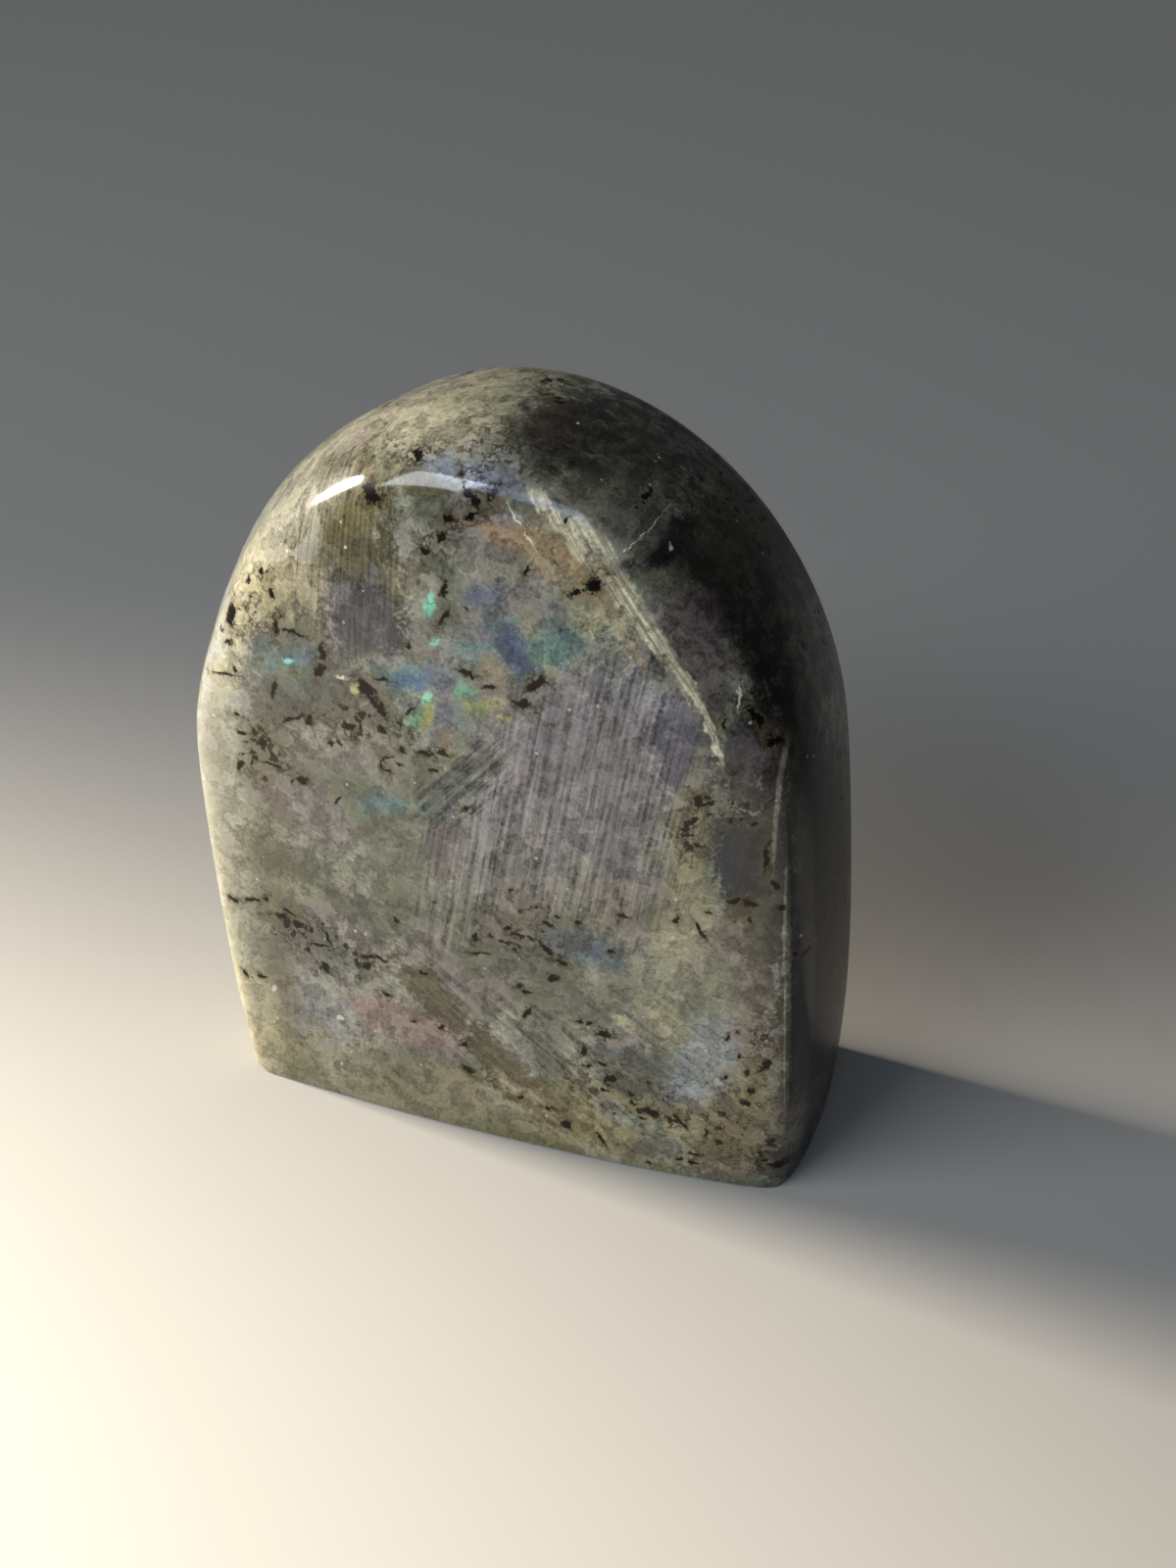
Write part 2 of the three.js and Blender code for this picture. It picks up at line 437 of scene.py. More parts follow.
# %% Clean up and fit
MERGE_REACH = 0.002
SHARP_ANGLE = math.radians(35)
INSIDE_SHARE = 0.9997

bpy.ops.object.mode_set(mode="EDIT")
bpy.ops.mesh.select_all(action="SELECT")
bpy.ops.mesh.remove_doubles(threshold=MERGE_REACH * MM)
bpy.ops.object.mode_set(mode="OBJECT")


def mesh_box():
    """Lowest and highest corner of the stone's own mesh."""
    places = [point.co for point in stone.data.vertices]
    low = Vector([min(place[axis] for place in places) for axis in range(3)])
    high = Vector([max(place[axis] for place in places) for axis in range(3)])
    return low, high


low, high = mesh_box()
middle = (low + high) / 2
bpy.ops.transform.translate(value=(-middle.x, -middle.y, -low.z))
fit = [room_side / side * INSIDE_SHARE for room_side, side in zip(cad_high - cad_low, high - low)]
bpy.ops.transform.resize(value=fit, center_override=(0, 0, 0))
bpy.ops.object.transform_apply(location=True, rotation=True, scale=True)
bpy.ops.object.shade_smooth_by_angle(angle=SHARP_ANGLE)
low, high = mesh_box()
print("fitted by", [round(share, 4) for share in fit])
print("stone, mm:", [round(side / MM, 2) for side in high - low])
print(len(stone.data.polygons), "faces after the merge")

# %% [markdown]
# ## Writing a material as sums
# A stone needs dozens of soft patches, and a long chain of nodes is easier to read as a formula.
# A Wire holds one socket, and adding or multiplying wires adds the Math nodes. The Paint class
# holds a node tree and makes every other node in it.

# %% Shader sums


class Wire:
    """One socket of a node tree, on which sums can be written."""

    def __init__(self, paint, socket):
        self.paint = paint
        self.socket = socket

    def __add__(self, other):
        return self.paint.sum("ADD", self, other)

    def __sub__(self, other):
        return self.paint.sum("SUBTRACT", self, other)

    def __rsub__(self, other):
        return self.paint.sum("SUBTRACT", other, self)

    def __mul__(self, other):
        return self.paint.sum("MULTIPLY", self, other)

    __radd__ = __add__
    __rmul__ = __mul__


class Paint:
    """A node tree, of a material or of a group."""

    def __init__(self, tree):
        self.tree = tree
        self.tree.nodes.clear()

    def node(self, kind, settings=None, inputs=None, output=0):
        """Adds any node: its settings first, then the values or wires of its sockets."""
        made = self.tree.nodes.new(kind)
        for name, value in (settings or {}).items():
            setattr(made, name, value)
        for key, value in (inputs or {}).items():
            if isinstance(value, Wire):
                self.tree.links.new(value.socket, made.inputs[key])
            else:
                made.inputs[key].default_value = value
        return Wire(self, made.outputs[output]) if made.outputs else None

    def sum(self, operation, first, second=0.0):
        """A Math node."""
        return self.node("ShaderNodeMath", {"operation": operation}, {0: first, 1: second})

    def vector(self, operation, first, second, output=0):
        """A Vector Math node."""
        return self.node(
            "ShaderNodeVectorMath", {"operation": operation}, {0: first, 1: second}, output)

    def scaled(self, vector, scale):
        """A vector times a number."""
        return self.node(
            "ShaderNodeVectorMath", {"operation": "SCALE"}, {"Vector": vector, "Scale": scale})

    def channel(self, colour, index):
        """One of the three channels of a colour."""
        return self.node("ShaderNodeSeparateColor", {}, {0: colour}, index)

    def step(self, value, start, end, low=0.0, high=1.0):
        """Smooth step of a value: low at start, high at end."""
        return self.node(
            "ShaderNodeMapRange", {"interpolation_type": "SMOOTHSTEP"},
            {"Value": value, "From Min": start, "From Max": end, "To Min": low, "To Max": high})

    def blend(self, share, first, second, how="MIX"):
        """A mix of two colours."""
        return self.node(
            "ShaderNodeMix", {"data_type": "RGBA", "blend_type": how},
            {0: share, 6: first, 7: second}, 2)

    def ramp(self, value, stops):
        """A colour ramp: each stop is a place from 0 to 1 and its colour."""
        made = self.node("ShaderNodeValToRGB", {}, {"Fac": value})
        scale = made.socket.node.color_ramp
        for index, (position, colour) in enumerate(stops):
            stop = scale.elements[index] if index < 2 else scale.elements.new(position)
            stop.position = position
            stop.color = colour
        return made

    def noise(self, place, scale, detail=2.0, roughness=0.5, distortion=0.0, output=0):
        """Soft random field with blobs about 1 / scale across."""
        return self.node("ShaderNodeTexNoise", {}, {
            "Vector": place, "Scale": scale, "Detail": detail,
            "Roughness": roughness, "Distortion": distortion}, output)

    def cells(self, place, scale):
        """Random cells about 1 / scale across: distance from each middle, and a random colour."""
        distance = self.node(
            "ShaderNodeTexVoronoi", {}, {"Vector": place, "Scale": scale}, "Distance")
        return distance, Wire(self, distance.socket.node.outputs["Color"])

    def warped(self, place, scale, reach, detail=2.0):
        """The place moved about at random, so that an edge drawn on it wanders."""
        push = self.vector("SUBTRACT", self.noise(place, scale, detail, output=1), (0.5, 0.5, 0.5))
        return self.vector("ADD", place, self.scaled(push, 2 * reach))


def tint(red, green, blue):
    """A colour as it shows on a screen, 0 to 255, as light."""
    return (*[((part / 255 + 0.055) / 1.055) ** 2.4 for part in (red, green, blue)], 1)


print("a mid grey, as light:", round(tint(128, 128, 128)[0], 3))

# %% [markdown]
# ## One group for every mark
# All that is placed on the face is an ellipse: a region, a flash, a crack or a needle. One function
# works out how far out of an ellipse a point lies. Two node groups are filled with it: one lays a
# colour inside a ragged ellipse, and one keeps the smallest distance over many ellipses. A group
# is built once and used hundreds of times.

# %% Groups
ELLIPSE = ["Middle", "Along", "Across"]


def new_group(name, vectors, numbers, colours, results):
    """An empty node group with its sockets, ready to be filled."""
    tree = bpy.data.node_groups.new(name, "ShaderNodeTree")
    inner = Paint(tree)
    for kind, names in (("Vector", vectors), ("Float", numbers), ("Color", colours)):
        for socket in names:
            tree.interface.new_socket(socket, in_out="INPUT", socket_type="NodeSocket" + kind)
    for socket, kind in results.items():
        tree.interface.new_socket(socket, in_out="OUTPUT", socket_type="NodeSocket" + kind)
    given = tree.nodes.new("NodeGroupInput")
    return inner, {socket.name: Wire(inner, socket) for socket in given.outputs if socket.name}


def outside_squared(inner, given):
    """Square of how far out of the ellipse: below 1 inside it, above 1 outside."""
    offset = inner.vector("SUBTRACT", given["Place"], given["Middle"])
    along = inner.vector("DOT_PRODUCT", offset, given["Along"], 1)
    across = inner.vector("DOT_PRODUCT", offset, given["Across"], 1)
    return inner.node(
        "ShaderNodeMath", {"operation": "MULTIPLY_ADD"}, {0: along, 1: along, 2: across * across})


inner, given = new_group(
    "region", ["Place"] + ELLIPSE, ["Ragged", "Start", "End", "Strength"], ["Under", "Over"],
    {"Colour": "Color", "Cover": "Float"})
torn_reach = inner.sum("SQRT", outside_squared(inner, given)) + given["Ragged"]
cover = inner.step(torn_reach, given["Start"], given["End"], 0.0, given["Strength"])
covered = inner.blend(cover, given["Under"], given["Over"])
inner.node("NodeGroupOutput", {}, {"Colour": covered, "Cover": cover})
REGION_GROUP = inner.tree

inner, given = new_group("nearest", ["Place"] + ELLIPSE, ["So far"], [], {"Away": "Float"})
smaller = inner.sum("MINIMUM", outside_squared(inner, given), given["So far"])
inner.node("NodeGroupOutput", {}, {"Away": smaller})
NEAREST_GROUP = inner.tree
print("groups:", REGION_GROUP.name, "and", NEAREST_GROUP.name)

# %% [markdown]
# ## Placing a mark
# A mark is written as one would measure it: its middle across and up the face, its length and
# width, and its tilt in degrees if it has one. These helpers turn that into a group's sockets.

# %% Marks
FAR = 1000.0


def ellipse(x, z, length, width, tilt=0):
    """Sockets of an ellipse on the face: its middle, and its two half axes as measures."""
    turn = math.radians(tilt)
    along = Vector((math.cos(turn), 0, math.sin(turn))) * 2 / length
    across = Vector((-math.sin(turn), 0, math.cos(turn))) * 2 / width
    return {"Middle": (x, 0, z), "Along": along, "Across": across}


def lay(under, place, mark, colour, strength, ragged, start, end):
    """Lays a colour inside a ragged ellipse; gives the new colour and what was covered."""
    laid = paint.node("ShaderNodeGroup", {"node_tree": REGION_GROUP}, {
        **ellipse(*mark), "Place": place, "Ragged": ragged, "Start": start, "End": end,
        "Strength": strength, "Under": under, "Over": colour})
    return laid, Wire(paint, laid.socket.node.outputs["Cover"])


def nearest(place, marks):
    """How far out of the nearest of many ellipses."""
    squared = FAR
    for mark in marks:
        squared = paint.node("ShaderNodeGroup", {"node_tree": NEAREST_GROUP}, {
            **ellipse(*mark), "Place": place, "So far": squared})
    return paint.sum("SQRT", squared)


print("middle of a mark at 10, 20:", ellipse(10, 20, 4, 2)["Middle"])

# %% [markdown]
# ## The body of the stone
# Labradorite is never one grey. Clouds of greener and greyer feldspar a few millimetres wide run
# through the whole lump, with a finer mottle and a sugary grain inside them. All of it is random
# noise in the stone's own space, so that it runs round every edge without a seam. Distances in
# these cells are millimetres.

# %% Body
labradorite = bpy.data.materials.new("labradorite")
labradorite.use_nodes = True
paint = Paint(labradorite.node_tree)
place = paint.scaled(paint.node("ShaderNodeTexCoord", {}, {}, "Object"), 1 / MM)
depth = paint.node("ShaderNodeSeparateXYZ", {}, {"Vector": place}, "Y")
height = paint.node("ShaderNodeSeparateXYZ", {}, {"Vector": place}, "Z")
sideways = paint.node("ShaderNodeSeparateXYZ", {}, {"Vector": place}, "X")

cloud = paint.noise(place, 0.11, detail=3, distortion=0.8)
tinge = paint.noise(place, 0.085, detail=2, distortion=0.6, output=1)
mottle = paint.noise(place, 0.5, detail=6, roughness=0.62, distortion=0.3)
grain = paint.noise(place, 2.6, detail=3, roughness=0.6)
crystal_away, crystal_pick = paint.cells(place, 1.3)
wandering = paint.warped(place, 0.22, 1.6)
ragged_place = paint.warped(place, 1.0, 0.6, detail=3)
ragged = (mottle - 0.5) * 2.0
torn = ragged + (grain - 0.5) * 1.2

DEEP_GREEN = (96, 99, 80)
PALE_GREY = (142, 141, 124)
MAUVE = (128, 117, 113)
body = paint.blend(paint.step(cloud, 0.38, 0.62), tint(*DEEP_GREEN), tint(*PALE_GREY))
body = paint.blend(paint.step(paint.channel(tinge, 1), 0.5, 0.66) * 0.7, body, tint(*MAUVE))
print("body mixes three feldspar tones")

# %% [markdown]
# ## Places on the face
# The polished face cuts through regions of different colour. Each is a soft ellipse with a ragged
# edge: its middle across and up the face, its length, width and tilt, then its colour and how
# strongly it covers the body. Painting an image would be quicker, but ellipses stay sharp at any
# size, and their colours are easy to change. Tones that come back have names, and each is written
# as a screen shows it, from 0 to 255.

# %% Tones
CREAM = (184, 176, 142)
BUFF = (152, 142, 108)
OLIVE = (92, 86, 58)
BROWN = (92, 78, 56)
PURPLE_GREY = (109, 106, 110)
SLATE = (84, 87, 92)
DUSTY_BLUE = (84, 92, 104)
PALE_GREEN = (142, 142, 118)
ICE = (150, 157, 156)
ROSE = (140, 112, 104)
SLATE_GREEN = (94, 100, 94)
# dark olive, partly painted shade of the bevel, the top right and the right wall
DARK_OLIVE_AND_SHADE = (54, 46, 34)
NEAR_BLACK = (28, 26, 23)
print("cream as light:", [round(part, 2) for part in tint(*CREAM)[:3]])

# %% Regions of the face
REGIONS = [
    # cream and buff at the left edge and the top
    (-30, 40, 80, 10, 90, (157, 157, 145), 0.8), (-23, 66, 18, 9, 58, (147, 143, 124), 0.8),
    (-25, 60, 10, 6, 80, CREAM, 0.5), (-20, 62, 9, 6, 60, BUFF, 0.6),
    (-9, 80, 22, 6, 8, (160, 154, 126), 0.7), (-27, 52.5, 9, 4, 60, (170, 162, 128), 0.6),
    (-31, 28, 50, 6, 92, (157, 153, 136), 0.65),
    # lamellae of the upper left: olive above, purple grey below
    (-11.5, 64.5, 15, 9, 90, (88, 82, 80), 0.85), (-13, 70.5, 11, 8, 90, OLIVE, 0.9),
    (-8.5, 66, 12, 2.5, 90, OLIVE, 0.6), (-11, 61, 8, 7, 90, (66, 64, 70), 0.75),
    (-17, 62, 10, 3, 80, BUFF, 0.5), (-14, 74, 9, 4, 25, (112, 106, 84), 0.7),
    (-17.5, 70.5, 10, 4, 50, (126, 122, 104), 0.6),
    (2, 76.6, 20, 3.4, -3, (84, 80, 66), 0.5), (-10, 56.8, 8, 2, 5, PALE_GREEN, 0.5),
    # top of the face
    (-5.5, 76.2, 5, 2.6, OLIVE, 0.75), (1, 76.2, 4, 2.4, 10, BROWN, 0.5),
    (-3, 71.8, 9, 3, 46, BROWN, 0.25), (-6.5, 67, 5, 3, 70, BUFF, 0.4),
    (5, 72.3, 11, 3, -12, (166, 138, 102), 0.65),
    (3.5, 69.5, 8, 4, 10, (126, 120, 102), 0.5),
    (9.5, 70.5, 10, 5, -42, (158, 142, 108), 0.7), (13, 65, 7, 4, -35, CREAM, 0.7),
    (9.5, 61, 12, 2.6, 32, PALE_GREEN, 0.6),
    # middle left
    (-19.5, 53.5, 12, 7, 10, SLATE_GREEN, 0.75), (-22, 46, 9, 7, 60, (104, 98, 80), 0.45),
    (-17, 46, 12, 6, 15, (132, 122, 110), 0.5), (-19, 38, 13, 8, -8, MAUVE, 0.7),
    (-13, 52.5, 16, 7, 8, (84, 82, 66), 0.75), (-12.5, 32, 10, 6, 10, PALE_GREEN, 0.45),
    (-18.5, 53, 15, 13, 60, (80, 78, 70), 0.6), (-19, 32, 18, 11, (96, 92, 82), 0.4),
    (-8, 41.8, 11, 2, 16, (98, 112, 108), 0.6), (-11, 46, 9, 5, MAUVE, 0.4),
    # big striated field on the right
    (12, 50, 24, 18, 80, PURPLE_GREY, 0.8), (2, 38, 16, 12, 75, PURPLE_GREY, 0.6),
    (20.5, 54, 9, 5, 85, (82, 80, 92), 0.7), (15, 42, 12, 6, 78, (96, 95, 96), 0.5),
    (-3, 36.5, 9, 4, 78, (90, 76, 72), 0.6), (19, 58, 7, 2.4, -14, (146, 142, 146), 0.6),
    (-1, 46, 12, 4, 48, SLATE_GREEN, 0.7), (6.5, 40.5, 6, 2.5, 75, (150, 142, 126), 0.4),
    (14, 34, 6, 4, 60, (136, 122, 102), 0.35), (5, 46, 12, 5, 76, (126, 120, 122), 0.4),
    # right of the face
    (21.9, 43, 16, 3.2, 88, (146, 140, 104), 0.65),
    (21.5, 32, 14, 6, 75, (160, 154, 120), 0.65),
    (9, 34.5, 15, 6, 10, (140, 134, 120), 0.65), (27.2, 42, 13, 7, 85, (27, 31, 42), 0.95),
    (29.8, 40, 36, 5, 91, (44, 42, 38), 0.85), (27, 53, 10, 6, 80, (66, 58, 60), 0.8),
    (28.5, 25, 12, 5, 88, (120, 110, 94), 0.6), (27.5, 33.5, 6, 5, (88, 82, 62), 0.7),
    # lower left
    (-21, 30, 13, 6, -18, (86, 86, 70), 0.7), (-12, 26.5, 13, 4.5, -14, (84, 84, 70), 0.75),
    (-20, 27, 9, 3, -8, PALE_GREEN, 0.45), (-18, 20, 10, 6, -25, SLATE, 0.6),
    (-10, 13.5, 15, 5.5, -8, ROSE, 0.6), (-24, 12.5, 6, 5, ROSE, 0.4),
    (-21, 17, 6, 4, 90, MAUVE, 0.5), (-12, 6.2, 12, 4.5, 14, SLATE, 0.6),
    (-22, 7, 8, 9, 90, (156, 150, 122), 0.4),
    (-18.5, 10.5, 12, 8, 85, (132, 130, 130), 0.6), (-27, 8, 18, 7, 95, CREAM, 0.7),
    (-2, 4, 60, 10, (150, 138, 92), 0.4), (-28.5, 31, 44, 6, 88, CREAM, 0.4),
    # olive brown band down to the right
    (-5, 17.5, 11, 5, -48, (88, 80, 54), 0.85), (2.5, 10.6, 11, 5, -46, (88, 80, 54), 0.95),
    (8, 5.5, 13, 5, -28, BROWN, 0.75), (5, 7, 9, 1.4, -38, CREAM, 0.5),
    # lower middle and right
    (20, 9, 30, 14, 25, (138, 128, 84), 0.5), (24.5, 21, 28, 5, 92, (152, 148, 122), 0.5),
    (10, 16, 14, 8, -30, (134, 130, 108), 0.5), (12, 28.3, 10, 4.5, -8, DUSTY_BLUE, 0.85),
    (6, 25, 9, 5, -10, (84, 88, 78), 0.65), (17, 13.5, 12, 7, -12, (88, 94, 88), 0.8),
    (24.2, 16, 13, 7, 80, ICE, 0.65), (22.5, 12, 5, 4, 20, ICE, 0.5),
    (14.5, 7.5, 5, 3, -50, ICE, 0.6), (18, 6, 5, 3, (130, 140, 120), 0.6),
    (20, 3.5, 5, 3, SLATE, 0.6), (20, 21, 7, 4, -50, (166, 160, 124), 0.6),
    (6, 15, 8, 6, 70, (116, 114, 106), 0.5), (15.8, 19.3, 2.6, 1.4, -40, CREAM, 0.8),
    (27, 6.5, 12, 10, 80, (118, 107, 80), 0.7), (16, 26, 14, 8, 10, PALE_GREEN, 0.35),
    # the near black corner at 32.5, 3.5 is painted shade at the foot of the right wall
    (32.5, 3.5, 5, 5, 90, NEAR_BLACK, 0.7), (-24, 28, 40, 7, 90, (128, 118, 88), 0.3),
    (4, 44, 10, 5, 80, (140, 132, 130), 0.4), (10, 41, 16, 8, 80, (138, 131, 127), 0.4),
    (-2, 32, 11, 5, 76, (136, 130, 118), 0.4), (-2, 26, 8, 5, (140, 138, 122), 0.35),
    (-12, 24, 6, 4.5, -10, (88, 86, 72), 0.55), (-20, 56, 7, 4, 10, (90, 90, 80), 0.55),
    (-8, 76, 5, 3, 10, (96, 90, 70), 0.5),
]
print(len(REGIONS), "regions on the face")

# %% [markdown]
# ## The dark side and the back
# The stone looks nearly black along the bevel, over the right half of the top and down the right
# wall, partly from the crystal's own dark colour and partly from painted shade, as these sides
# turn away from the warm lamp. One pale patch on the top ridge is a painted highlight. These
# regions have softer edges, and are laid over the others. The back was ground from the same lump,
# so it gets a few large regions of the same tones, the painted shade of the right wall and of the
# top right among them.

# %% Dark regions and back regions
DARK_AND_SHADED_REGIONS = [
    # Partly painted shade: the bevel, top right and right wall turn away from the lamp.
    (26, 67.5, 30, 10, -54, DARK_OLIVE_AND_SHADE, 0.9), (17.5, 71.6, 7, 2.2, -14, NEAR_BLACK, 0.9),
    (20, 66.5, 6, 3, -40, (66, 52, 48), 0.6), (21.5, 62, 10, 6, -56, (88, 78, 76), 0.75),
    (32, 55, 34, 7, -78, DARK_OLIVE_AND_SHADE, 0.95), (29, 62.5, 28, 7.5, -64, (33, 30, 25), 0.95),
    (6.3, 80, 14, 4.8, -10, (38, 34, 27), 0.95), (14, 79, 20, 9, -26, (46, 40, 30), 0.95),
    # the pale patch at -1, 77.5 is a painted highlight on the top ridge
    (21.5, 72.8, 14, 8, -47, (42, 39, 32), 0.9), (-1, 77.5, 8, 3, (150, 152, 150), 0.4),
    (17, 70, 8, 3, -50, (92, 90, 74), 0.7), (11, 75, 7, 3, -30, (112, 108, 88), 0.6),
    (36, 30, 80, 9, 90, (40, 36, 29), 0.95), (14.5, 74.2, 8, 4, 24, (88, 88, 79), 0.6),
    (17.2, 71.6, 6, 2.2, 20, (18, 18, 19), 0.95),
    (33.2, 8.5, 8, 2.4, 90, (112, 106, 94), 0.7),
]

BACK_REGIONS = [
    (14, 50, 34, 24, 70, PURPLE_GREY, 0.7), (-12, 60, 26, 16, 40, OLIVE, 0.5),
    (-16, 30, 26, 18, 80, SLATE_GREEN, 0.7), (8, 20, 30, 16, -15, PALE_GREEN, 0.5),
    (24, 22, 22, 12, 80, (72, 64, 46), 0.7), (2, 42, 10, 26, 20, MAUVE, 0.5),
    (-26, 12, 14, 10, 60, BUFF, 0.6), (0, 70, 22, 8, -8, BUFF, 0.5),
    # the dark right wall and dark top right here are partly painted shade, as on the front
    (-36, 34, 90, 16, 90, (98, 95, 80), 0.85), (36, 30, 80, 9, 90, (44, 40, 32), 0.9),
    (-4, 8, 22, 6, 8, SLATE, 0.6), (22, 66, 22, 12, -55, DARK_OLIVE_AND_SHADE, 0.8),
    (13, 79, 28, 10, -24, (48, 42, 32), 0.92), (-12, 78, 26, 8, 14, (160, 154, 126), 0.6),
    (4.5, 80.2, 12, 3.4, -10, (40, 36, 29), 0.92),
]
print(len(DARK_AND_SHADED_REGIONS), "dark regions and", len(BACK_REGIONS), "on the back")

# %% [markdown]
# ## Laying the regions
# The regions are laid one over the other in the order of the lists. Those of the front reach about
# half way through the stone. The right wall, in shade, starts in one clean line at the ridge, so
# one more mask paints that shade over what lies behind it, down to where the foot turns paler.

# %% Lay the regions


def lay_regions(under, regions, edge, softness):
    """The body with each region laid over it in turn, with its edge torn and softened."""
    for *mark, tone, strength in regions:
        under, _ = lay(
            under, wandering, mark, tint(*tone), strength, edge, 1 + softness, 1 - softness)
    return under


front = paint.step(depth, 5, -5)
through = paint.step(depth, 3, -7)
face = lay_regions(body, REGIONS, torn, 0.25)
# dark crystal and painted shade of the bevel, the top right and the right wall
face = lay_regions(face, DARK_AND_SHADED_REGIONS, torn * 0.5, 0.4)
back = lay_regions(body, BACK_REGIONS, torn * 0.7, 0.5)
# painted shade of the right wall, behind the clean line of the ridge
side = paint.step(depth, -11.4, -10.8) * paint.step(sideways, 30.6, 31.4)
face = paint.blend(side * paint.step(height, 8, 13) * 0.7, face, tint(38, 36, 31))
colour = paint.blend(through, back, face)
print(len(REGIONS) + len(DARK_AND_SHADED_REGIONS) + len(BACK_REGIONS), "regions laid")

# %% [markdown]
# ## Lamellae
# The feldspar grew in thin parallel sheets, and the polish shows their edges as fine lines. Noise
# stretched a long way in one direction and hardly at all across it gives such lines. Four sets
# have their own direction and spacing, and each field shows one of them inside an ellipse. The
# first set also runs faintly through the whole stone.

# %% Lamellae
LINE_LENGTH = 9.0
SHEET_DEPTH = 6.0


def lines(tilt, spacing):
    """Long thin streaks along one direction of the face."""
    along = paint.node("ShaderNodeMapping", {"vector_type": "TEXTURE"}, {
        "Vector": place, "Rotation": (0, -math.radians(tilt), 0),
        "Scale": (LINE_LENGTH, SHEET_DEPTH, spacing),
    })
    return paint.noise(along, 1.0, detail=4, roughness=0.65)


FINE, UPRIGHT, SLANTED, FALLING = lines(80, 0.45), lines(89, 0.42), lines(49, 0.6), lines(-38, 0.65)
LAMELLAE = [
    # x, z, length, width and tilt of the field; its lines; strength
    ((-13, 66, 21, 14, 90), UPRIGHT, 1.4), ((12, 46, 34, 24, 80), FINE, 1.45),
    ((-2, 34, 22, 9, 76), FINE, 1.5), ((-0.5, 46, 15, 7, 48), SLANTED, 2.4),
    ((26.5, 42, 12, 6, 88), FINE, 0.8), ((20, 64, 22, 6, -50), FALLING, 0.7),
    ((4, 12, 34, 14, -44), FALLING, 1.1), ((19, 14, 26, 20, -38), FALLING, 0.8),
    ((-17, 13, 20, 14, 90), UPRIGHT, 0.5),
]

line_tone = (FINE - 0.5) * 0.9
for field, streaks, strength in LAMELLAE:
    inside = paint.step(nearest(wandering, [field]) + ragged * 0.5, 1.2, 0.7, 0.0, strength)
    line_tone = line_tone + (paint.step(streaks, 0.3, 0.7) - 0.5) * inside * front
print(len(LAMELLAE), "fields of lamellae")

# %% [markdown]
# ## Play of colour
# Labradorite is loved for its flash: light that its lamellae throw back blue, green and gold. Here
# it is quiet, so a ramp of slate, teal, green and gold runs over soft random bands inside a few
# areas, and small pure flashes lie on top. Both are a little metallic, so that they answer the
# lamps as the real ones do. The pale blue band along the top ridge, laid with the flashes, is a
# painted reflection.

# %% Flashes
PLAY = [
    # x, z, length, width and tilt of the area; strength
    (5.5, 62, 15, 8, 22, 0.75), (-4, 57, 16, 4.5, 12, 0.7), (-3.5, 52.5, 12, 5, 10, 0.6),
    (-20, 55, 9, 4.5, 20, 0.5), (-9, 41, 14, 2.6, 16, 0.5), (12, 28, 9, 4, -6, 0.35),
]
PLAY_HUES = [
    (0.30, tint(58, 70, 112)), (0.42, tint(78, 104, 128)), (0.50, tint(88, 128, 126)),
    (0.58, tint(110, 140, 116)), (0.70, tint(150, 142, 88)),
]
FLASHES_AND_SHEEN = [
    (3.8, 61.3, 5, 3, 75, (58, 72, 112), 0.6), (5.5, 59.6, 5, 2, -20, (64, 76, 108), 0.5),
    (9.4, 63.2, 4.4, 2, 12, (104, 138, 124), 0.5),
    (8, 61.6, 4, 1.6, 20, (100, 140, 130), 0.5), (1, 66.5, 5, 2.5, 20, (88, 98, 124), 0.6),
    (-0.5, 60.5, 5, 2.4, (92, 128, 124), 0.5),
    (-4.3, 65, 2.6, 1, 75, (140, 220, 190), 1),
    (-3.7, 60.8, 1.4, 0.9, 20, (140, 200, 180), 0.8),
    (-20, 55.1, 1.4, 0.6, 8, (150, 222, 228), 1),
    (-4.6, 54.6, 1.8, 0.8, 70, (150, 214, 186), 1),
    (-6.5, 56.1, 6, 2, 12, (68, 106, 130), 0.85),
    (2.2, 55.4, 3.6, 1.2, 25, (166, 168, 112), 0.65),
    (0.4, 54.6, 3, 1.2, -20, (132, 150, 88), 0.7),
    (3.4, 54.1, 1.4, 0.6, (186, 182, 96), 0.8),
    (-4.6, 52.6, 3, 1.2, 75, (180, 180, 96), 0.7),
    (-2.6, 50.6, 3, 1.2, 60, (144, 116, 86), 0.45),
    (-6, 51.6, 2.6, 1.4, 70, (100, 158, 120), 0.7),
    (-12.4, 53.8, 1.2, 1, (226, 220, 152), 0.9),
    (-13.6, 54.8, 1.4, 0.4, (226, 222, 190), 0.9),
    (-0.6, 56.2, 3.4, 1.2, 15, (96, 156, 124), 0.7),
    # painted reflection: the pale blue band along the top ridge
    (-2, 77.4, 12, 1.2, -3, (158, 174, 196), 0.35),
    (-9.5, 40.6, 8, 1.1, 12, (84, 108, 112), 0.4),
    (12.4, 28.2, 5, 1.8, -5, (68, 76, 98), 0.6),
]

band = paint.noise(ragged_place, 0.24, detail=2, distortion=0.5)
sparkle = paint.step(lines(24, 0.7), 0.36, 0.62)
play = None
for *area, strength in PLAY:
    share = paint.step(nearest(wandering, [area]) + torn * 0.7, 1.3, 0.4, 0.0, strength)
    play = share if play is None else paint.sum("MAXIMUM", play, share)
play = play * (0.3 + sparkle * 0.7) * front
colour = paint.blend(play, colour, paint.ramp(band, PLAY_HUES))

flash_and_sheen_colour, flash_and_sheen_share = colour, play
for *mark, hue, strength in FLASHES_AND_SHEEN:
    flash_and_sheen_colour, cover = lay(
        flash_and_sheen_colour, ragged_place, mark, tint(*hue), strength, torn, 1.5, 0.5)
    flash_and_sheen_share = paint.sum("MAXIMUM", flash_and_sheen_share, cover)
flash_and_sheen_share = flash_and_sheen_share * front
colour = paint.blend(front, colour, flash_and_sheen_colour)
print(len(FLASHES_AND_SHEEN), "flashes")
